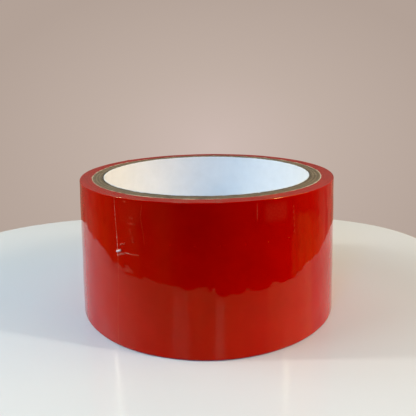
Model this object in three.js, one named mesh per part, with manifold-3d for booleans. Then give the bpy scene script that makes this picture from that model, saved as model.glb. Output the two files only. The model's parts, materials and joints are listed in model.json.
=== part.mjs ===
// A roll of plastic-film duct tape on a spiral-wound cardboard core, as separate pieces.
// Millimetres, +Z along the roll's axis. The roll stands on its flat lower face, and the
// origin is the centre of that face. Angles are in degrees, anticlockwise from +X.
import * as THREE from "three";
import { mergeVertices } from "three/addons/utils/BufferGeometryUtils.js";
import Module from "manifold-3d";

const wasm = await Module();
wasm.setup();

// Roll
const WIDTH = 48; // width of the tape and length of the core
const BORE_RADIUS = 38; // 3 inch core
const CORE_RADIUS = 42.6;
const ROLL_RADIUS = 46.9; // at the free end, where the roll is widest
const TAPE_THICKNESS = 0.13;
const GLUE_GAP = 0.02; // the film of glue between two layers

// Core: a coated paper liner, plain board plies and a pale outer ply
const LINER_THICKNESS = 0.3;
const OUTER_PLY_THICKNESS = 0.4;
const BOARD_PLIES = 7;
const STRIP_WIDTH = 120; // each ply is a strip this wide, wound as a helix
const SEAM_GAP = 0.4; // left between the butted edges of a strip

// Every round face has the same facets at the same angles, so that the layers nest
const FACETS = 80;
const FACET_ANGLE = 360 / FACETS;
const LINER_SEAM_ANGLE = -22 * FACET_ANGLE; // where the liner's seam reaches the upper end
const SEAM_STAGGER = 7 * FACET_ANGLE; // from one ply's seam to the next one's

// Free end of the tape: the last stretch peels off as a chain of stiff lengths
const END_ANGLE = -126; // the cut edge; the tape runs anticlockwise from it
const PEEL_LENGTHS = 10;
const FACETS_PER_LENGTH = 2;
const HINGE_GAP = 0.1; // between two lengths of the chain
const LENGTH_ANGLE = FACETS_PER_LENGTH * FACET_ANGLE;
const ROOT_ANGLE = END_ANGLE + PEEL_LENGTHS * LENGTH_ANGLE;

const BLADE_OVERRUN = 1; // how far the blade that cuts a seam passes each side of the ply

const MATERIALS = {
  tape: { color: 0x9e0d09, roughness: 0.28, metalness: 0 },
  board: { color: 0x8f8068, roughness: 0.92, metalness: 0 },
  palePly: { color: 0xcdbfa8, roughness: 0.9, metalness: 0 },
  liner: { color: 0xdcdfe3, roughness: 0.45, metalness: 0 },
};

function polar(radius, degrees) {
  const angle = THREE.MathUtils.degToRad(degrees);
  return new THREE.Vector2(radius * Math.cos(angle), radius * Math.sin(angle));
}

function circle(radius) {
  const corners = [];
  for (let facet = 0; facet < FACETS; facet += 1) {
    corners.push(polar(radius, facet * FACET_ANGLE));
  }
  return corners;
}

function extrude(outline, hole) {
  const shape = new THREE.Shape(outline);
  if (hole) {
    shape.holes.push(new THREE.Path(hole));
  }
  return new THREE.ExtrudeGeometry(shape, { depth: WIDTH, bevelEnabled: false });
}

function toSolid(geometry) {
  const bare = geometry.clone();
  bare.deleteAttribute("normal");
  bare.deleteAttribute("uv");
  const merged = mergeVertices(bare);
  const mesh = new wasm.Mesh({
    numProp: 3,
    vertProperties: new Float32Array(merged.attributes.position.array),
    triVerts: new Uint32Array(merged.index.array),
  });
  return new wasm.Manifold(mesh);
}

function toGeometry(solid) {
  const mesh = solid.getMesh();
  const geometry = new THREE.BufferGeometry();
  geometry.setAttribute("position", new THREE.BufferAttribute(mesh.vertProperties, 3));
  geometry.setIndex(new THREE.BufferAttribute(mesh.triVerts, 1));
  geometry.computeVertexNormals();
  return geometry;
}

function namedMesh(name, geometry, look) {
  const mesh = new THREE.Mesh(geometry, new THREE.MeshStandardMaterial(look));
  mesh.name = name;
  return mesh;
}

// The ribbon spirals inwards by its own thickness in each anticlockwise turn from its free end
function ribbonOuterRadius(degrees) {
  return ROLL_RADIUS - (TAPE_THICKNESS * (degrees - END_ANGLE)) / 360;
}

// A thin bar along the helix where the edges of one ply's strip meet. It bends at the facet
// edges, runs one facet past the upper end and passes the lower end.
function seamBlade(innerRadius, outerRadius, topAngle) {
  const radius = (innerRadius + outerRadius) / 2;
  const helix = Math.asin(STRIP_WIDTH / (2 * Math.PI * radius));
  const risePerFacet = (2 * Math.PI * radius * Math.tan(helix)) / FACETS;
  const steps = Math.ceil(WIDTH / risePerFacet) + 2;
  const depth = outerRadius - innerRadius + 2 * BLADE_OVERRUN;
  const blade = new THREE.BoxGeometry(depth, steps, SEAM_GAP / Math.cos(helix), 1, steps, 1);
  const corners = blade.attributes.position;
  for (let i = 0; i < corners.count; i += 1) {
    const facets = corners.getY(i) - steps / 2 + 1;
    const place = polar(radius + corners.getX(i), topAngle + facets * FACET_ANGLE);
    corners.setXYZ(i, place.x, place.y, WIDTH + facets * risePerFacet + corners.getZ(i));
  }
  return blade;
}

// One ply of the core: a ring slit along its own helical seam
function corePly(name, innerRadius, outerRadius, layer, look) {
  const ring = toSolid(extrude(circle(outerRadius), circle(innerRadius)));
  const topAngle = LINER_SEAM_ANGLE + layer * SEAM_STAGGER;
  const blade = toSolid(seamBlade(innerRadius, outerRadius, topAngle));
  return namedMesh(name, toGeometry(ring.subtract(blade)), look);
}

function coreLiner() {
  const outerRadius = BORE_RADIUS + LINER_THICKNESS - GLUE_GAP;
  return corePly("core_liner", BORE_RADIUS, outerRadius, 0, MATERIALS.liner);
}

function coreBoardPlies() {
  const firstRadius = BORE_RADIUS + LINER_THICKNESS;
  const lastRadius = CORE_RADIUS - OUTER_PLY_THICKNESS;
  const step = (lastRadius - firstRadius) / BOARD_PLIES;
  const plies = [];
  for (let layer = 1; layer <= BOARD_PLIES; layer += 1) {
    const outerRadius = firstRadius + layer * step;
    const innerRadius = outerRadius - step;
    plies.push(corePly(`core_ply_${layer}`, innerRadius, outerRadius - GLUE_GAP, layer, MATERIALS.board));
  }
  return plies;
}

function coreOuterPly() {
  const innerRadius = CORE_RADIUS - OUTER_PLY_THICKNESS;
  const outerRadius = CORE_RADIUS - GLUE_GAP;
  return corePly("core_outer_ply", innerRadius, outerRadius, BOARD_PLIES + 1, MATERIALS.palePly);
}

// All the turns under the last one. Their outer edge is the spiral, with the ribbon's own
// thickness as a step where the last turn begins.
function woundTape() {
  const outline = [];
  for (let facet = 0; facet <= FACETS; facet += 1) {
    const degrees = END_ANGLE + facet * FACET_ANGLE;
    outline.push(polar(ribbonOuterRadius(degrees) - TAPE_THICKNESS - GLUE_GAP, degrees));
  }
  return namedMesh("wound_tape", extrude(outline, circle(CORE_RADIUS)), MATERIALS.tape);
}

// A stretch of the last turn between two angles, short of both by half the hinge gap
function ribbonStretch(name, fromAngle, toAngle) {
  const margin = THREE.MathUtils.radToDeg(HINGE_GAP / 2 / ROLL_RADIUS);
  const stops = [fromAngle + margin];
  for (let degrees = fromAngle + FACET_ANGLE; degrees < toAngle - margin; degrees += FACET_ANGLE) {
    stops.push(degrees);
  }
  stops.push(toAngle - margin);
  const outerEdge = stops.map((degrees) => polar(ribbonOuterRadius(degrees), degrees));
  const innerEdge = stops.map((degrees) => polar(ribbonOuterRadius(degrees) - TAPE_THICKNESS, degrees));
  return namedMesh(name, extrude([...outerEdge, ...innerEdge.reverse()]), MATERIALS.tape);
}

// The part of the last turn that stays stuck down
function outerLap() {
  return ribbonStretch("outer_lap", ROOT_ANGLE, END_ANGLE + 360);
}

// The part that peels: length 1 hinges on the stuck part, and the last one has the cut edge
function tapeEnd() {
  const lengths = [];
  for (let number = 1; number <= PEEL_LENGTHS; number += 1) {
    const toAngle = ROOT_ANGLE - (number - 1) * LENGTH_ANGLE;
    lengths.push(ribbonStretch(`tape_end_${number}`, toAngle - LENGTH_ANGLE, toAngle));
  }
  return lengths;
}

const roll = new THREE.Group();
roll.add(coreLiner(), ...coreBoardPlies(), coreOuterPly());
roll.add(woundTape(), outerLap(), ...tapeEnd());

export default roll;
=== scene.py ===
import json
import math

import bpy
import numpy as np
from mathutils import Matrix, Vector


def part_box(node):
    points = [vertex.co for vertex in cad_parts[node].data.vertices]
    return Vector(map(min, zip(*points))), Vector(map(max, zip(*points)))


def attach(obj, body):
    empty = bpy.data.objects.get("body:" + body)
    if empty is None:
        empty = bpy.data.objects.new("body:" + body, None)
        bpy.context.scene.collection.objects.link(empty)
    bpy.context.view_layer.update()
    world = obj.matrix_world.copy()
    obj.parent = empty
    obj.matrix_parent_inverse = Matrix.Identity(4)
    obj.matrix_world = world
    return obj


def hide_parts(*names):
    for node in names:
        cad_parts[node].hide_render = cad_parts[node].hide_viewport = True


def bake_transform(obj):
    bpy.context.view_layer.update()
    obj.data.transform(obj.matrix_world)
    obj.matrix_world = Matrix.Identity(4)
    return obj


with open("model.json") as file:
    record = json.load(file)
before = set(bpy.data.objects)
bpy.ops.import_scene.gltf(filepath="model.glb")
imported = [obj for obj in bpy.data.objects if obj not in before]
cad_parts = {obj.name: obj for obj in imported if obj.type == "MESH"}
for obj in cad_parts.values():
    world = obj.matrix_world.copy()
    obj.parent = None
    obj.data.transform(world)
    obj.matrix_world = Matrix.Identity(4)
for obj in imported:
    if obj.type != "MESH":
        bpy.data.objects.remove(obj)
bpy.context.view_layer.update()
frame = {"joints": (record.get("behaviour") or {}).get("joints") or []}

# A roll of red plastic-film duct tape on a spiral-wound cardboard core. Metres, +Z along the
# roll's axis. Angles are in degrees, anticlockwise from +X, with the viewer at -90.
MM = 0.001

BORE_RADIUS = 38.0 * MM
BOARD_PLIES = 7
GLUE_GAP = 0.02 * MM
TAPE_PITCH = 0.13 * MM  # one turn of tape with its adhesive
FILM = 0.118 * MM
LAP_TURNS = 1.03  # the last turn runs on under the free end, out of sight
TABLE_GAP = 0.01 * MM  # no part of the roll lies lower than this

# ---------------------------------------------------------------- sizes, from the frame
hinges = [joint["pos_m"] for joint in frame["joints"]]
hinge_angles = [math.degrees(math.atan2(p[1], p[0])) for p in hinges]
hinge_step = hinge_angles[0] - hinge_angles[1]
end_angle = hinge_angles[-1] - hinge_step  # where the CAD ribbon ends
end_bodies = [joint["child"] for joint in frame["joints"]]
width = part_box("wound_tape")[1].z

ply_nodes = [f"core_ply_{n}" for n in range(1, BOARD_PLIES + 1)]
core_nodes = ["core_liner"] + ply_nodes + ["core_outer_ply"]
core_radii = [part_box(node)[1].x for node in core_nodes]
core_radius = core_radii[-1] + GLUE_GAP

# Places along the ribbon are counted in turns, inwards from its free end
step_turns = hinge_step / 360
root_turns = len(hinges) * step_turns
roll_radius = math.hypot(*hinges[0][:2]) + TAPE_PITCH * root_turns
turn_count = round((roll_radius - core_radius) / TAPE_PITCH)
lap_start = root_turns + step_turns / 2
lap_end = lap_start + LAP_TURNS
circumference = 2 * math.pi * roll_radius

random = np.random.default_rng(11)


# ---------------------------------------------------------------- meshes from grids of points
def quads(rows, columns, first, turned=False):
    """Corner numbers of the quads of a rows by columns grid whose points start at first."""
    a = first + np.arange(rows - 1)[:, None] * columns + np.arange(columns - 1)[None, :]
    corners = [a, a + columns, a + columns + 1, a + 1]
    if turned:
        corners.reverse()
    return np.stack(corners, axis=-1).reshape(-1, 4)


def build(name, points, faces, materials, face_material=None, corner_normals=None, uv=None,
          pale=None):
    """An object from points and quads. uv and pale have one value for each point."""
    mesh = bpy.data.meshes.new(name)
    mesh.vertices.add(len(points))
    mesh.vertices.foreach_set("co", np.asarray(points, np.float32).ravel())
    mesh.loops.add(faces.size)
    mesh.loops.foreach_set("vertex_index", faces.astype(np.int32).ravel())
    mesh.polygons.add(len(faces))
    mesh.polygons.foreach_set("loop_start", np.arange(0, faces.size, 4, dtype=np.int32))
    for material in materials:
        mesh.materials.append(material)
    if face_material is not None:
        mesh.polygons.foreach_set("material_index", face_material.astype(np.int32))
    mesh.update(calc_edges=True)
    mesh.shade_smooth()
    if uv is not None:
        layer = mesh.uv_layers.new(name="UVMap")
        layer.data.foreach_set("uv", uv[faces.ravel()].astype(np.float32).ravel())
    if pale is not None:
        layer = mesh.attributes.new("pale", "FLOAT", "POINT")
        layer.data.foreach_set("value", pale.astype(np.float32).ravel())
    if corner_normals is not None:
        mesh.normals_split_custom_set(corner_normals.tolist())
    piece = bpy.data.objects.new(name, mesh)
    bpy.context.scene.collection.objects.link(piece)
    return piece


def unit(vectors):
    return vectors / np.maximum(np.linalg.norm(vectors, axis=-1, keepdims=True), 1e-12)


def thin_solid(name, front, back, normals, materials, uv, pale=None):
    """A closed sheet between two grids of points. Its faces take three materials: the front,
    the back and the cut edges."""
    rows, columns = front.shape[:2]
    count = rows * columns
    points = np.concatenate([front.reshape(-1, 3), back.reshape(-1, 3)])
    grid = np.arange(count).reshape(rows, columns)
    rim = np.concatenate([grid[:, 0], grid[-1, 1:], grid[-2::-1, -1], grid[0, -2:0:-1]])
    following = np.roll(rim, -1)
    edge = np.stack([rim, rim + count, following + count, following], axis=-1)
    front_faces = quads(rows, columns, 0)
    back_faces = quads(rows, columns, count, turned=True)
    faces = np.concatenate([front_faces, back_faces, edge])
    diagonals = points[edge[:, 2]] - points[edge[:, 0]], points[edge[:, 3]] - points[edge[:, 1]]
    smooth = normals.reshape(-1, 3)
    corner_normals = np.concatenate([
        smooth[front_faces.ravel()],
        -smooth[back_faces.ravel() - count],
        np.repeat(unit(np.cross(*diagonals)), 4, axis=0),
    ])
    face_material = np.repeat([0, 1, 2], [len(front_faces), len(back_faces), len(edge)])
    both = np.concatenate([uv.reshape(-1, 2)] * 2)
    if pale is not None:
        pale = np.concatenate([pale.ravel()] * 2)
    return build(name, points, faces, materials, face_material, corner_normals, both, pale)


# ---------------------------------------------------------------- the film's own shape
WAVE_STEEPNESS = 1.2  # how fast waves get lower as they get shorter


class Waves:
    """Smooth random undulation over the roll's outer face, as a sum of plane waves. lean is
    how far their directions spread from around the roll, in radians."""

    def __init__(self, count, shortest, longest, height, lean):
        lengths = np.exp(random.uniform(np.log(shortest), np.log(longest), count))
        headings = random.normal(0, lean, count)
        self.around = np.round(circumference / lengths * np.cos(headings))
        self.along = 2 * np.pi / lengths * np.sin(headings)
        self.phase = random.uniform(0, 2 * np.pi, count)
        self.height = height * (lengths / longest) ** WAVE_STEEPNESS

    def __call__(self, degrees, z):
        turn = np.radians(degrees)
        total = np.zeros(np.broadcast(turn, z).shape)
        for n, k, phase, height in zip(self.around, self.along, self.phase, self.height):
            total += height * np.cos(n * turn + k * z + phase)
        return total


slack = Waves(count=64, shortest=6 * MM, longest=34 * MM, height=0.0125 * MM, lean=1.3)
crinkle = Waves(count=40, shortest=2.4 * MM, longest=7 * MM, height=0.0024 * MM, lean=1.3)
edge_wander = Waves(count=16, shortest=14 * MM, longest=120 * MM, height=0.022 * MM, lean=0.0)
SLACK_DEPTH = 5  # turns in which the slack dies away towards the core
WANDER_PER_TURN = 1.37  # keeps one turn's edges from wandering just as the next one's do

EDGE_ROLL = 0.05 * MM  # how far the film leans in towards its upper and lower edges
EDGE_REACH = 0.22 * MM
EDGE_ROUND = 0.06 * MM  # how far the very edge is turned in
ROUND_REACH = 0.08 * MM
FOOT_GAP = 0.32 * MM  # the outer turns stand this clear of the table
FOOT_DEPTH = 2  # turns in which that gap closes

# A lump of film on the upper edge of the outermost turn
LUMP_ANGLE = 138.0
LUMP_HALF_WIDTH = 0.5  # degrees
LUMP_HEIGHT = 0.30 * MM
LUMP_SHARPNESS = 40  # how close to the upper edge it stays
LUMP_TURNS = 1.1

PATCH_SIDE_SHARPNESS = 14
PATCH_END_SHARPNESS = 8


def bump(degrees, z, centre, reach, height):
    """A soft rounded rise. centre is (degrees, z), and reach its half widths (around, along Z)."""
    around = np.radians(degrees - centre[0]) * roll_radius / reach[0]
    along = (z - centre[1]) / reach[1]
    return height * np.exp(-(around**2 + along**2))


def patch(degrees, z, centre, reach, height):
    """A flat patch with soft straight sides."""
    around = np.abs(np.radians(degrees - centre[0])) * roll_radius / reach[0]
    along = np.abs(z - centre[1]) / reach[1]
    sides = 1 + np.exp(PATCH_SIDE_SHARPNESS * (around - 1))
    ends = 1 + np.exp(PATCH_END_SHARPNESS * (along - 1))
    return height / sides / ends


def crease(degrees, z, start, end, reach):
    """A narrow straight fold of height 1 between two (degrees, z) points, lowest at its ends."""
    ax = np.radians(degrees - start[0]) * roll_radius
    az = z - start[1]
    bx = math.radians(end[0] - start[0]) * roll_radius
    bz = end[1] - start[1]
    length = math.hypot(bx, bz)
    share = np.clip((ax * bx + az * bz) / length**2, 0, 1)
    away = np.hypot(ax - share * bx, az - share * bz)
    return np.exp(-((away / reach) ** 2)) * np.sqrt(np.maximum(1 - (2 * share - 1) ** 4, 0))


# Places on the film are (degrees, mm up the roll), and other lengths in these tables are in mm.
# Folds in the free end: start, end, half width, height, paleness (a painted highlight along the
# crest; the first fold's is its painted glint)
FOLDS = [
    ((-127.6, 30.6), (-123.8, 31.6), 0.46, 0.46, 1.10),
    ((-127.0, 29.5), (-121.9, 31.1), 0.24, 0.14, 0.45),
    ((-122.2, 31.1), (-119.2, 30.9), 0.22, 0.12, 0.45),
    ((-119.5, 30.9), (-115.9, 31.1), 0.20, 0.08, 0.30),
    ((-124.7, 33.3), (-122.9, 33.8), 0.24, 0.14, 0.40),
    ((-122.9, 33.5), (-122.0, 34.2), 0.20, 0.10, 0.30),
    ((-121.4, 40.1), (-116.7, 40.6), 0.30, 0.05, 0.13),
    ((-120.0, 42.3), (-118.0, 42.2), 0.42, 0.05, 0.12),
    ((-119.6, 38.9), (-119.3, 37.2), 0.55, 0.05, 0.11),
    ((-118.6, 36.4), (-118.4, 34.6), 0.55, 0.05, 0.11),
    ((-114.0, 46.8), (-114.8, 42.6), 0.14, 0.012, 0.20),
    ((-114.8, 42.8), (-113.7, 37.3), 0.14, 0.012, 0.20),
    ((-113.7, 37.6), (-113.5, 34.3), 0.14, 0.010, 0.14),
    ((-71.9, 47.2), (-71.9, 41.9), 0.16, 0.02, 0.40),
]
# Bubbles and dents: centre, half widths, height, paleness
BUBBLES = [
    ((-87.96, 21.9), (0.45, 0.40), 0.05, 0.30),
    ((-124.6, 31.6), (1.9, 1.4), 0.10, 0.0),
    ((-119.5, 36.5), (2.4, 5.0), 0.03, 0.06),
    ((-120.8, 25.0), (1.6, 0.5), -0.03, 0.0),
    ((-121.8, 46.9), (0.7, 0.3), 0.03, 0.25),
    ((-64.0, 34.0), (11.0, 6.0), 0.045, 0.0),
    ((-49.0, 41.0), (3.5, 4.0), 0.025, 0.0),
]
# Flat patches of trapped air: centre, half sizes, paleness
PATCHES = [
    ((-63.9, 43.9), (3.9, 2.8), 0.10),
    ((-119.8, 43.5), (4.0, 3.4), 0.05),
]
# A row of tiny bubbles
DOTS_FROM = (-56.1, 44.5)
DOTS_TO = (-55.4, 36.0)
DOT_COUNT = 11
DOT_WANDER = 0.25  # degrees to each side of the row
DOT_RHYTHM = 9  # radians of wander from one bubble to the next, so that none line up
DOT_SIZE = (0.26, 0.26)
DOT_HEIGHT = 0.03
DOT_PALENESS = 0.30

FOLD_HIGHLIGHT_SHARE = 0.7  # the share of a fold's half width that carries its painted highlight

# The cut edge, a slightly bowed line across the tape, in degrees from where the CAD ribbon ends
CUT_PLACE = -1.25
CUT_BOW = 1.2
CUT_CREST = 0.58  # where it bows furthest in, as a share of the width
CUT_HIGHLIGHT_LINE = 0.20 * MM  # half width of the painted highlight line along the cut edge
CUT_UPPER = 27  # mm up the roll, from where the painted highlight line grows stronger
CUT_GROWTH = 4  # mm in which it does
# A painted highlight along the cut edge, stronger in the upper part
CUT_HIGHLIGHT = 0.32
CUT_UPPER_HIGHLIGHT = 0.36  # added in the upper part
CUT_UNEVENNESS = 0.25  # how much of the painted highlight comes and goes along the line
CUT_WAVES = (2.3 * MM, 5.1 * MM)  # and over what lengths


def metres(lengths):
    return tuple(length * MM for length in lengths)


def on_film(place):
    """(degrees, mm up the roll) as (degrees, metres)."""
    return place[0], place[1] * MM


def dots():
    """Centres of the bubbles in the row."""
    for i in range(DOT_COUNT):
        share = i / (DOT_COUNT - 1)
        degrees = DOTS_FROM[0] + (DOTS_TO[0] - DOTS_FROM[0]) * share
        height = DOTS_FROM[1] + (DOTS_TO[1] - DOTS_FROM[1]) * share
        yield degrees + DOT_WANDER * math.sin(DOT_RHYTHM * i), height


def free_edge(z):
    """Where the cut edge lies, in turns."""
    return (CUT_PLACE + CUT_BOW * np.cos((z / width - CUT_CREST) * math.pi) ** 2) / 360


def looseness(degrees, z):
    """How far the free end stands off the turn beneath it."""
    total = np.zeros(np.broadcast(degrees, z).shape)
    for start, end, reach, height, _ in FOLDS:
        total += height * MM * crease(degrees, z, on_film(start), on_film(end), reach * MM)
    for centre, reach, height, _ in BUBBLES:
        total += bump(degrees, z, on_film(centre), metres(reach), height * MM)
    for centre in dots():
        total += bump(degrees, z, on_film(centre), metres(DOT_SIZE), DOT_HEIGHT * MM)
    return total


def paleness_and_highlights(turns, z):
    """How pale the film is painted: a painted highlight along its cut end and along the crests of
    folds, and paler film over trapped air.
    """
    degrees = end_angle + 360 * turns
    total = np.zeros(np.broadcast(degrees, z).shape)
    for start, end, reach, _, pale in FOLDS:
        # Each fold's crest carries a painted highlight
        pale_and_highlit = FOLD_HIGHLIGHT_SHARE * reach * MM
        total += pale * crease(degrees, z, on_film(start), on_film(end), pale_and_highlit)
    for centre, reach, _, pale in BUBBLES:
        total += bump(degrees, z, on_film(centre), metres(reach), pale)
    for centre, reach, pale in PATCHES:
        total += patch(degrees, z, on_film(centre), metres(reach), pale)
    for centre in dots():
        total += bump(degrees, z, on_film(centre), metres(DOT_SIZE), DOT_PALENESS)
    # A painted highlight line along the cut edge
    from_cut = (turns - free_edge(z)) * circumference
    waves = np.sin(z / CUT_WAVES[0]) * np.sin(z / CUT_WAVES[1] + 1)
    uneven = 1 - CUT_UNEVENNESS + CUT_UNEVENNESS * waves
    upper = np.clip((z / MM - CUT_UPPER) / CUT_GROWTH, 0, 1)
    line = uneven * (CUT_HIGHLIGHT + CUT_UPPER_HIGHLIGHT * upper)
    return total + line * np.exp(-((from_cut / CUT_HIGHLIGHT_LINE) ** 2))


def ribbon(turns, z, inset=0.0, free=False):
    """Points on the ribbon, turns being how far in from its free end."""
    degrees = end_angle + 360 * turns
    radius = roll_radius - TAPE_PITCH * turns - inset
    radius = radius + (slack(degrees, z) + crinkle(degrees, z)) * np.exp(-turns / SLACK_DEPTH)
    from_edge = np.minimum(z, width - z)
    radius = radius - EDGE_ROLL * np.exp(-((from_edge / EDGE_REACH) ** 2))
    radius = radius - EDGE_ROUND * np.exp(-((from_edge / ROUND_REACH) ** 2))
    if free:
        radius = radius + looseness(degrees, z)
    angle = np.radians(degrees)
    share = z / width
    height = z + edge_wander(WANDER_PER_TURN * degrees, 0 * z) * (2 * share - 1)
    height = height + FOOT_GAP * np.exp(-turns / FOOT_DEPTH) * (1 - share)
    around = (degrees - LUMP_ANGLE + 180) % 360 - 180
    lump = LUMP_HEIGHT * np.exp(-((around / LUMP_HALF_WIDTH) ** 2))
    height = height + lump * share**LUMP_SHARPNESS * (turns < LUMP_TURNS)
    height = np.clip(height, TABLE_GAP, None)
    place = np.broadcast_arrays(radius * np.cos(angle), radius * np.sin(angle), height)
    return np.stack(place, axis=-1)


def ribbon_normals(turns, z, free):
    step = 0.04 * MM
    along = step / circumference
    above = np.minimum(z + step, width)
    below = np.maximum(z - step, 0)
    run = ribbon(turns + along, z, free=free) - ribbon(turns - along, z, free=free)
    rise = ribbon(turns, above, free=free) - ribbon(turns, below, free=free)
    return unit(np.cross(run, rise))


def ribbon_piece(name, turns, z, free):
    front = ribbon(turns, z, free=free)
    back = ribbon(turns, z, inset=FILM, free=free)
    uv = np.stack([(turns - free_edge(z)) * circumference, z], axis=-1)
    pale = paleness_and_highlights(turns, z) if free else np.zeros(turns.shape)
    normals = ribbon_normals(turns, z, free)
    return thin_solid(name, front, back, normals, film_materials, uv, pale)


def heights(step, fine_step, fine_from, fine_to):
    """Rows up the ribbon: fine near both edges and across the creased band."""
    edges = np.array([0, 0.03, 0.06, 0.10, 0.15, 0.22, 0.34, 0.5]) * MM
    middle = np.concatenate([
        np.arange(edges[-1] + step, fine_from, step),
        np.arange(fine_from, fine_to, fine_step),
        np.arange(fine_to, width - edges[-1] - step / 2, step),
    ])
    return np.concatenate([edges, middle, width - edges[::-1]])


# ---------------------------------------------------------------- nodes of the materials
def new_material(name):
    material = bpy.data.materials.new(name)
    material.use_nodes = True
    tree = material.node_tree
    return material, tree, tree.nodes["Principled BSDF"]


def add(tree, kind, **settings):
    node = tree.nodes.new(kind)
    for key, value in settings.items():
        setattr(node, key, value)
    return node


def noise(tree, vector, scale, detail, roughness):
    node = add(tree, "ShaderNodeTexNoise")
    node.inputs["Scale"].default_value = scale
    node.inputs["Detail"].default_value = detail
    node.inputs["Roughness"].default_value = roughness
    tree.links.new(vector, node.inputs["Vector"])
    return node.outputs["Fac"]


def stretched(tree, vector, scale):
    """Coordinates times scale. A scale below 1 draws a texture out, and one above 1 squeezes it."""
    node = add(tree, "ShaderNodeMapping")
    node.inputs["Scale"].default_value = scale
    tree.links.new(vector, node.inputs["Vector"])
    return node.outputs["Vector"]


def ramp(tree, value, stops):
    """Colours between (place, colour) stops."""
    node = add(tree, "ShaderNodeValToRGB")
    elements = node.color_ramp.elements
    while len(elements) < len(stops):
        elements.new(1.0)
    for element, (place, colour) in zip(elements, stops):
        element.position = place
        element.color = (*colour, 1)
    tree.links.new(value, node.inputs["Fac"])
    return node.outputs["Color"]


def remap(tree, value, old, new):
    """Takes the range old to the range new, each a pair of ends, and clamps to it."""
    node = add(tree, "ShaderNodeMapRange")
    for socket, number in zip(("From Min", "From Max", "To Min", "To Max"), (*old, *new)):
        node.inputs[socket].default_value = number
    tree.links.new(value, node.inputs["Value"])
    return node.outputs["Result"]


def calculated(tree, operation, *values):
    node = add(tree, "ShaderNodeMath", operation=operation)
    for socket, value in zip(node.inputs, values):
        tree.links.new(value, socket)
    return node.outputs[0]


def scaled(tree, colour, amount):
    node = add(tree, "ShaderNodeVectorMath", operation="SCALE")
    tree.links.new(colour, node.inputs[0])
    tree.links.new(amount, node.inputs["Scale"])
    return node.outputs[0]


def split(tree, vector):
    node = add(tree, "ShaderNodeSeparateXYZ")
    tree.links.new(vector, node.inputs[0])
    return node.outputs["X"], node.outputs["Y"], node.outputs["Z"]


def mix(tree, share, first, second):
    """A mix of two colours, each a socket or a tuple of three numbers."""
    node = add(tree, "ShaderNodeMix", data_type="RGBA")
    tree.links.new(share, node.inputs[0])
    for socket, value in ((node.inputs[6], first), (node.inputs[7], second)):
        if isinstance(value, tuple):
            socket.default_value = (*value, 1)
        else:
            tree.links.new(value, socket)
    return node.outputs[2]


def bumped(tree, shader, height, strength, distance):
    node = add(tree, "ShaderNodeBump")
    node.inputs["Strength"].default_value = strength
    node.inputs["Distance"].default_value = distance
    tree.links.new(height, node.inputs["Height"])
    tree.links.new(node.outputs["Normal"], shader.inputs["Normal"])


def flat_coordinates(tree):
    return add(tree, "ShaderNodeTexCoord").outputs["UV"]


def solid_coordinates(tree):
    return add(tree, "ShaderNodeTexCoord").outputs["Object"]


# ---------------------------------------------------------------- the film's materials
def film_face():
    """The glossy printed side: saturated red, with painted highlights along folds and the cut edge,
    and paler where it lies over air.
    """
    material, tree, shader = new_material("film_face")
    place = flat_coordinates(tree)
    mottle = noise(tree, place, scale=90, detail=4, roughness=0.6)
    colour = ramp(tree, mottle, [(0.30, (0.50, 0.0002, 0.0)), (0.70, (0.575, 0.001, 0.0))])
    flatter = stretched(tree, place, (1.0, 1.7, 1.0))
    blotches = noise(tree, flatter, scale=260, detail=5, roughness=0.62)
    blotch_share = remap(tree, blotches, (0.56, 0.68), (0, 0.25))
    colour = mix(tree, blotch_share, colour, (0.56, 0.004, 0.001))
    # The painted highlights on folds and the cut edge, and the paler film over trapped air
    pale_and_highlit = add(tree, "ShaderNodeAttribute", attribute_name="pale").outputs["Fac"]
    specks = noise(tree, place, scale=1500, detail=3, roughness=0.6)
    broken = remap(tree, specks, (0.35, 0.65), (0.6, 1.15))
    broken = calculated(tree, "MULTIPLY", pale_and_highlit, broken)
    # Up to near white where the painted glint on the largest fold is
    tint = ramp(tree, broken, [
        (0.0, (0.60, 0.02, 0.0)),
        (0.30, (0.66, 0.09, 0.05)),
        (0.60, (0.78, 0.30, 0.24)),
        (1.0, (0.95, 0.86, 0.82)),
    ])
    colour = mix(tree, remap(tree, broken, (0.0, 0.4), (0, 1)), colour, tint)
    tree.links.new(colour, shader.inputs["Base Color"])
    haze = noise(tree, place, scale=700, detail=3, roughness=0.6)
    tree.links.new(remap(tree, haze, (0.3, 0.7), (0.025, 0.05)), shader.inputs["Roughness"])
    shader.inputs["IOR"].default_value = 1.46
    shader.inputs["Specular Tint"].default_value = (0.38, 0.38, 0.10, 1)
    taller = stretched(tree, place, (1.0, 0.7, 1.0))
    ripple = noise(tree, taller, scale=420, detail=2, roughness=0.45)
    bumped(tree, shader, ripple, strength=0.12, distance=0.02 * MM)
    return material


def film_back():
    """The sticky side: duller, with the fine grain that the adhesive is coated on with."""
    material, tree, shader = new_material("film_back")
    place = flat_coordinates(tree)
    drawn_out = stretched(tree, place, (0.15, 1.0, 1.0))
    streaks = noise(tree, drawn_out, scale=2600, detail=3, roughness=0.6)
    colour = ramp(tree, streaks, [(0.3, (0.40, 0.014, 0.010)), (0.7, (0.50, 0.035, 0.024))])
    tree.links.new(colour, shader.inputs["Base Color"])
    grain = noise(tree, place, scale=3800, detail=3, roughness=0.6)
    tree.links.new(remap(tree, grain, (0.3, 0.7), (0.34, 0.5)), shader.inputs["Roughness"])
    bumped(tree, shader, grain, strength=0.5, distance=0.03 * MM)
    return material


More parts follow.
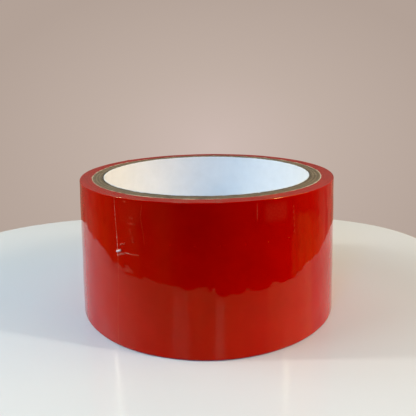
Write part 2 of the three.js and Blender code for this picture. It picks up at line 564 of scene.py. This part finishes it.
def film_edge():
    """The slit edges of the turns: dull dark red, with fine rings of lighter and darker turns."""
    material, tree, shader = new_material("film_edge")
    place = solid_coordinates(tree)
    x, y, _ = split(tree, place)
    squares = [calculated(tree, "MULTIPLY", side, side) for side in (x, y)]
    radius = calculated(tree, "SQRT", calculated(tree, "ADD", *squares))
    rings = add(tree, "ShaderNodeTexNoise", noise_dimensions="1D")
    rings.inputs["Scale"].default_value = 2600
    rings.inputs["Detail"].default_value = 3
    tree.links.new(radius, rings.inputs["W"])
    dark, light, even = (0.21, 0.012, 0.006), (0.42, 0.036, 0.022), (0.33, 0.020, 0.010)
    ring_colour = ramp(tree, rings.outputs["Fac"], [(0.32, dark), (0.68, light)])
    blotches = noise(tree, place, scale=160, detail=4, roughness=0.6)
    colour = mix(tree, remap(tree, blotches, (0.35, 0.65), (0.0, 0.45)), ring_colour, even)
    tree.links.new(colour, shader.inputs["Base Color"])
    shader.inputs["Roughness"].default_value = 0.6
    grain = noise(tree, place, scale=5200, detail=2, roughness=0.6)
    bumped(tree, shader, grain, strength=0.5, distance=0.03 * MM)
    return material


film_materials = [film_face(), film_back(), film_edge()]


# ---------------------------------------------------------------- the core's materials
def paper(name, dark, light, fibre_scale, roughness, lift, clouded=0.86):
    """Board or coated paper, with fibres lying at random and cloudy patches. lift is the height
    of the fibres, and clouded how bright the darkest cloud is."""
    material, tree, shader = new_material(name)
    place = solid_coordinates(tree)
    clouds = noise(tree, place, scale=240, detail=4, roughness=0.6)
    lying = stretched(tree, place, (1.0, 1.0, 2.2))
    fibres = noise(tree, lying, scale=fibre_scale, detail=5, roughness=0.7)
    base = ramp(tree, fibres, [(0.32, dark), (0.68, light)])
    colour = scaled(tree, base, remap(tree, clouds, (0.3, 0.7), (clouded, 1.0)))
    tree.links.new(colour, shader.inputs["Base Color"])
    shader.inputs["Roughness"].default_value = roughness
    bumped(tree, shader, fibres, strength=0.6, distance=lift)
    return material


BOARD_DARK = (0.135, 0.088, 0.046)
BOARD_LIGHT = (0.29, 0.205, 0.115)
PLY_SHADES = (0.40, 0.66, 1.06, 0.70, 1.12, 0.74, 1.02)  # grey boards differ from reel to reel; the first, darkest, also paints the shade in the gap beside the liner


def board_end(number, shade):
    """The cut ends of one board ply."""
    dark = tuple(channel * shade for channel in BOARD_DARK)
    light = tuple(channel * shade for channel in BOARD_LIGHT)
    return paper(f"core_board_end_{number}", dark, light, fibre_scale=3400, roughness=0.9,
                 lift=0.06 * MM, clouded=0.7)


board = paper("core_board", BOARD_DARK, BOARD_LIGHT, fibre_scale=3000, roughness=0.9,
              lift=0.05 * MM)
board_ends = [board_end(number, shade) for number, shade in enumerate(PLY_SHADES, start=1)]
pale_board = paper("pale_board", (0.46, 0.38, 0.25), (0.66, 0.57, 0.41), fibre_scale=3000,
                   roughness=0.88, lift=0.04 * MM)
liner_paper = paper("liner_paper", (0.85, 0.855, 0.86), (0.88, 0.885, 0.89), fibre_scale=2400,
                    roughness=0.42, lift=0.006 * MM, clouded=0.95)
liner_end = paper("liner_end", (0.66, 0.65, 0.62), (0.84, 0.84, 0.83), fibre_scale=3000,
                  roughness=0.8, lift=0.03 * MM)

# ---------------------------------------------------------------- the core
SEAM_TWIST = 119.0  # degrees that a ply's seam turns from one end of the core to the other
LINER_SEAM = -97.9  # where the liner's seam meets the upper end
PLY_STAGGER = 33.1  # degrees from one ply's seam to the next one's
SEAM_GAP = 0.45 * MM  # across the seam
SEAM_SLANT = 2  # a seam that rises at about 30 degrees is this much wider, measured around
FRAY = 0.04 * MM  # raggedness of the cut ends
PLY_GAP = 0.03 * MM
MOST_SUNK = 0.10  # mm that a board ply ends below the upper face, at most
OUTER_SUNK = 0.02  # mm for the outer ply
LINER_PROUD = 0.05  # mm that the liner stands above the upper face
CORE_COLUMNS = 300
CORE_ROWS = 33


def core_ply(name, inner, outer, layer, materials, sunk):
    """One strip of paper wound into the tube, with a slit along its helical butt seam."""
    gap = math.degrees(SEAM_GAP / inner) * SEAM_SLANT
    around = np.linspace(0, 1, CORE_COLUMNS)
    share, z = np.meshgrid(around, np.linspace(0, width, CORE_ROWS), indexing="ij")
    top = LINER_SEAM + layer * PLY_STAGGER
    angle = np.radians(top - SEAM_TWIST * (1 - z / width) + gap / 2 + share * (360 - gap))
    outward = np.stack([np.cos(angle), np.sin(angle), 0 * angle], axis=-1)
    sides = []
    for radius in (outer - PLY_GAP, inner):
        ragged = random.normal(0, FRAY, (CORE_COLUMNS, 2))
        ragged = (ragged + np.roll(ragged, 1, axis=0)) / 2
        side = outward * radius
        side[..., 2] = z
        side[:, -1, 2] += ragged[:, 0] - sunk
        side[:, 0, 2] = TABLE_GAP + np.abs(ragged[:, 1])
        sides.append(side)
    uv = np.stack([angle * inner, z], axis=-1)
    piece = thin_solid(name, sides[0], sides[1], outward, materials, uv)
    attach(piece, "roll")
    return piece


def core():
    inner = BORE_RADIUS
    for layer, (node, outer) in enumerate(zip(core_nodes, core_radii)):
        name, slot = f"board_strip_{layer}", "core_board"
        sunk = random.uniform(0.0, MOST_SUNK) * MM
        if node == "core_liner":
            name, slot = "liner_strip", "liner_paper"
            materials, sunk = [liner_paper, liner_paper, liner_end], -LINER_PROUD * MM
        elif node == "core_outer_ply":
            name, slot = "outer_strip", "pale_board"
            materials, sunk = [pale_board] * 3, OUTER_SUNK * MM
        else:
            materials = [board, board, board_ends[layer - 1]]
        piece = core_ply(name, inner, outer + GLUE_GAP, layer, materials, sunk)
        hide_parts(node)
        inner = outer + GLUE_GAP


# ---------------------------------------------------------------- the tape
# Each piece of the free end has its joint half way along.
INNER_COLUMNS = 180  # in each turn
LAP_COLUMNS = 330
FREE_COLUMNS = [24] * 8 + [60, 75]  # finest in the two pieces at the cut edge


def film(name, turns, z, node, free=False):
    """A stretch of the ribbon, in place of a CAD node."""
    piece = ribbon_piece(name, turns, z, free)
    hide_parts(node)
    return piece


def stuck_turns(rows):
    """The turns that don't peel: the inner ones as one spiral, and the last one."""
    sparse = np.array([0, EDGE_REACH, width - EDGE_REACH, width])
    inner = np.arange(lap_end, turn_count, 1 / INNER_COLUMNS)
    piece = film("wound_turns", *np.meshgrid(inner, sparse, indexing="ij"), "wound_tape")
    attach(piece, "roll")
    lap = np.linspace(lap_start, lap_end, LAP_COLUMNS)
    piece = film("last_turn", *np.meshgrid(lap, rows, indexing="ij"), "outer_lap")
    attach(piece, "roll")


def free_end(rows):
    """The pieces that peel, from the root. Each reaches half the way between two joints to
    either side of its own, and the last one runs on to the cut edge."""
    from_turn, from_body = lap_start, "roll"
    for number, (body, columns) in enumerate(zip(end_bodies, FREE_COLUMNS), start=1):
        to_turn = from_turn - step_turns
        share, z = np.meshgrid(np.linspace(0, 1, columns), rows, indexing="ij")
        stop = free_edge(z) if number == len(end_bodies) else to_turn
        turns = stop + share * (from_turn - stop)
        piece = film(f"free_end_{number}", turns, z, body, free=True)
        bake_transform(piece)
        from_turn, from_body = to_turn, body


def tape():
    rows = heights(step=0.6 * MM, fine_step=0.1 * MM, fine_from=28.6 * MM, fine_to=35 * MM)
    stuck_turns(rows)
    free_end(rows)


# ---------------------------------------------------------------- camera
EYE = (0.0, -0.1827, 0.0825)
LOOKING_DOWN = 6.53
LEAN = -0.76
FOCAL_LENGTH = 42.2  # mm
SENSOR_WIDTH = 36  # mm
SHIFT = (0.005, -0.171)
NEAREST_SEEN = 0.01


def camera():
    """The viewer stands close, a little above the roll, and looks slightly down."""
    data = bpy.data.cameras.new("camera")
    data.lens = FOCAL_LENGTH
    data.sensor_width = SENSOR_WIDTH
    data.shift_x, data.shift_y = SHIFT
    data.clip_start = NEAREST_SEEN
    eye = bpy.data.objects.new("camera", data)
    eye.location = EYE
    tilt = Matrix.Rotation(math.pi / 2 - math.radians(LOOKING_DOWN), 4, "X")
    turn = tilt @ Matrix.Rotation(math.radians(LEAN), 4, "Z")
    eye.rotation_euler = turn.to_euler()
    bpy.context.scene.collection.objects.link(eye)
    bpy.context.scene.camera = eye


# ---------------------------------------------------------------- table
TABLE_CENTRE = (-0.009, 0.040)
TABLE_HALF_LENGTH = 0.123
TABLE_FRONT_DEPTH = 0.140
TABLE_BACK_DEPTH = 0.075
BACK_SQUARENESS = 2.6
TABLE_RIM = 0.004  # radius of the round upper rim
RIM_STEPS = 16
TABLE_SIDE = 0.014  # how far down its upright side goes
TABLE_THICKNESS = 0.018
UNDER_SLOPE = 0.006  # how far in the sloping rim of the underside goes
TABLE_COLUMNS = 256
TO_MIDDLE = 1.0  # further in than the middle, where the table stops it
SHARP_ANGLE = 50


def table_material():
    material, tree, shader = new_material("table_top")
    clouds = noise(tree, solid_coordinates(tree), scale=14, detail=3, roughness=0.5)
    colour = ramp(tree, clouds, [(0.3, (0.71, 0.715, 0.71)), (0.7, (0.73, 0.73, 0.725))])
    tree.links.new(colour, shader.inputs["Base Color"])
    shader.inputs["Roughness"].default_value = 0.15
    shader.inputs["IOR"].default_value = 1.5
    return material


def table_section():
    """Points (distance in from the outline, height), from the middle of the top, over the round
    rim, to the middle of the underside."""
    section = [(TO_MIDDLE, 0.0)]
    for i in range(RIM_STEPS + 1):
        a = math.pi / 2 * (1 - i / RIM_STEPS)
        inward, height = TABLE_RIM - TABLE_RIM * math.cos(a), -TABLE_RIM + TABLE_RIM * math.sin(a)
        section.append((inward, height))
    section += [(0.0, -TABLE_SIDE), (UNDER_SLOPE, -TABLE_THICKNESS)]
    return section + [(TO_MIDDLE, -TABLE_THICKNESS)]


def table():
    """A small white table. Its top is half an oval in front and squarer behind."""
    section = table_section()
    inward, z = np.array(section).T[:, None, :]
    angle = np.linspace(0, 2 * np.pi, TABLE_COLUMNS + 1)[:, None]
    behind = np.sin(angle) > 0
    power = np.where(behind, 2 / BACK_SQUARENESS, 1.0)
    depth = np.where(behind, TABLE_BACK_DEPTH, TABLE_FRONT_DEPTH)
    side = np.sign(np.cos(angle)) * np.abs(np.cos(angle)) ** power
    away = np.sign(np.sin(angle)) * np.abs(np.sin(angle)) ** power
    x = TABLE_CENTRE[0] + side * np.maximum(TABLE_HALF_LENGTH - inward, 0)
    y = TABLE_CENTRE[1] + away * np.maximum(depth - inward, 0)
    points = np.stack([x, y, z + 0 * angle], axis=-1)
    faces = quads(TABLE_COLUMNS + 1, len(section), 0)
    piece = build("table", points.reshape(-1, 3), faces, [table_material()])
    piece.data.set_sharp_from_angle(angle=math.radians(SHARP_ANGLE))


# ---------------------------------------------------------------- light
# name, azimuth, elevation, distance, (width, height), colour, watts
PANELS = [
    ("window", 184, 36, 1.0, (0.045, 0.26), (1.0, 0.97, 0.90), 2.7),
    ("sky_left", 188, 40, 0.55, (0.40, 0.35), (0.50, 0.86, 1.0), 1.5),
    ("lamp", -20.5, 36, 1.0, (0.045, 0.26), (1.0, 0.94, 0.82), 3.0),
    ("wall_right", -2, 40, 0.55, (0.40, 0.35), (1.0, 0.86, 0.46), 0.55),
    ("side_left", -176, 30, 1.2, (1.1, 0.6), (1.0, 0.62, 0.44), 3.3),
    ("side_right", -14, 29, 1.2, (1.0, 0.5), (1.0, 0.57, 0.15), 6.6),
    ("pane_front_left", -113, 27, 1.2, (0.26, 0.30), (0.08, 0.40, 1.0), 2.8),
    ("pane_front_right", -80.5, 27, 1.2, (0.14, 0.30), (0.08, 0.40, 1.0), 2.4),
    ("overhead_front", -90, 60, 1.1, (0.8, 0.7), (0.04, 0.84, 1.0), 0.5),
    ("ceiling", 90, 82, 1.1, (1.0, 0.9), (0.78, 1.0, 0.96), 2.3),
]
AIM_HEIGHT = 0.03


def panel(name, azimuth, elevation, distance, size, colour, watts):
    """A soft light panel facing the roll."""
    data = bpy.data.lights.new(name, "AREA")
    data.shape = "RECTANGLE"
    data.size, data.size_y = size
    data.color = colour
    data.energy = watts
    light = bpy.data.objects.new(name, data)
    turn, rise = math.radians(azimuth), math.radians(elevation)
    level = math.cos(rise)
    way = Vector((level * math.cos(turn), level * math.sin(turn), math.sin(rise)))
    light.location = way * distance + Vector((0, 0, AIM_HEIGHT))
    light.rotation_euler = way.to_track_quat("Z", "Y").to_euler()
    light.visible_camera = False
    bpy.context.scene.collection.objects.link(light)


def lights():
    for settings in PANELS:
        panel(*settings)


WALL_STRETCH = (1.0, 1.0, 1.5)  # its glow is wider than it is high
WALL_CENTRE = (0.02, 0.99, -0.20)  # its brightest direction, stretched so
WALL_COLOURS = [
    (0.0, (0.62, 0.50, 0.455)),
    (0.45, (0.53, 0.43, 0.375)),
    (1.0, (0.45, 0.36, 0.31)),
]
ROOM_COLOURS = [
    (0.0, (0.012, 0.011, 0.010)),
    (0.45, (0.06, 0.05, 0.045)),
    (1.0, (0.36, 0.30, 0.26)),
]
FLOOR_DARK = (0.004, 0.002, 0.001)
FLOOR_LEFT = (0.24, 0.15, 0.02)
FLOOR_RIGHT = (0.50, 0.29, 0.04)
FLOOR_BEHIND = (0.34, 0.20, 0.13)


def wall(tree, direction):
    """What the eye sees behind the table: a pale wall, brightest behind the roll."""
    away = add(tree, "ShaderNodeVectorMath", operation="DISTANCE")
    tree.links.new(stretched(tree, direction, WALL_STRETCH), away.inputs[0])
    away.inputs[1].default_value = WALL_CENTRE
    return ramp(tree, remap(tree, away.outputs["Value"], (0.0, 0.5), (0, 1)), WALL_COLOURS)


def room(tree, direction):
    """What lights the roll and shows in the film: a room that is pale behind and dim in front,
    and below the horizon a warm floor, lit beside and behind the table and dark in front."""
    x, y, z = split(tree, direction)
    upper = ramp(tree, remap(tree, y, (-0.35, 0.55), (0, 1)), ROOM_COLOURS)
    beside = remap(tree, y, (-0.24, -0.18), (0, 1))
    beside = calculated(tree, "MULTIPLY", beside, remap(tree, x, (0.1, 0.3), (0, 1)))
    beside = calculated(tree, "MULTIPLY", beside, remap(tree, z, (-0.265, -0.285), (0.2, 1)))
    floor = mix(tree, remap(tree, x, (-0.25, -0.60), (0, 1)), FLOOR_DARK, FLOOR_LEFT)
    floor = mix(tree, beside, floor, FLOOR_RIGHT)
    floor = mix(tree, remap(tree, y, (0.2, 0.6), (0, 1)), floor, FLOOR_BEHIND)
    clouds = noise(tree, direction, scale=6, detail=3, roughness=0.6)
    floor = scaled(tree, floor, remap(tree, clouds, (0.35, 0.65), (0.55, 1.35)))
    return mix(tree, remap(tree, z, (-0.04, 0.0), (0, 1)), floor, upper)


def surroundings():
    world = bpy.data.worlds.new("room")
    bpy.context.scene.world = world
    world.use_nodes = True
    tree = world.node_tree
    tree.nodes.clear()
    direction = add(tree, "ShaderNodeTexCoord").outputs["Generated"]
    for_eye = add(tree, "ShaderNodeLightPath").outputs["Is Camera Ray"]
    background = add(tree, "ShaderNodeBackground")
    colour = mix(tree, for_eye, room(tree, direction), wall(tree, direction))
    tree.links.new(colour, background.inputs["Color"])
    output = add(tree, "ShaderNodeOutputWorld")
    tree.links.new(background.outputs[0], output.inputs["Surface"])


camera()
core()
tape()
table()
lights()
surroundings()
bpy.context.scene.view_settings.view_transform = "Standard"
